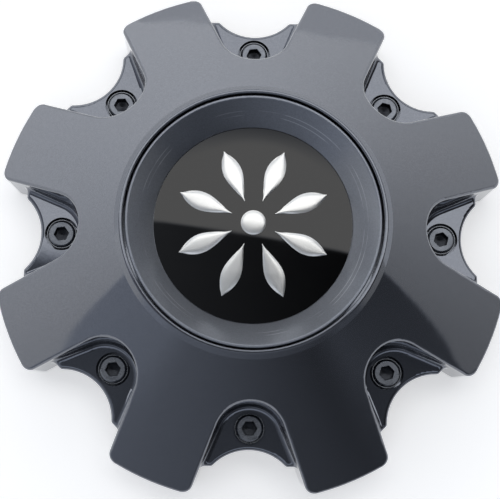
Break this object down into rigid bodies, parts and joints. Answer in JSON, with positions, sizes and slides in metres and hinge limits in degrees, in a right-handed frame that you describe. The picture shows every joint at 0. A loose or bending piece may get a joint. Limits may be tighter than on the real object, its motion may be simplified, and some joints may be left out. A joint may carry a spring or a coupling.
{
  "type": "wheel center cap",
  "caption": "Moulded center cap for a lug-nut truck wheel: conical cover with fingers between open lug notches, socket screws in the notch floors and a domed badge in a dished insert.",
  "frame": {"origin": "on the wheel axis, in the plane of the finger ends' backs", "axes": "+Z out of the face, away from the wheel; +X along a lug notch"},
  "size_m": [0.1934, 0.1934, 0.052],
  "materials": {
    "cover_paint": "glossy gunmetal grey paint",
    "insert_paint": "glossy gunmetal grey paint",
    "badge_black": "clear domed gloss over black",
    "screw_steel": "dark satin coated steel",
    "washer_steel": "dark satin coated steel"
  },
  "bodies": {
    "root": {"cap_body": "cover_paint", "centre_insert": "insert_paint", "badge": "badge_black", "cap_screws": "screw_steel", "screw_washers": "washer_steel"}
  },
  "joints": []
}
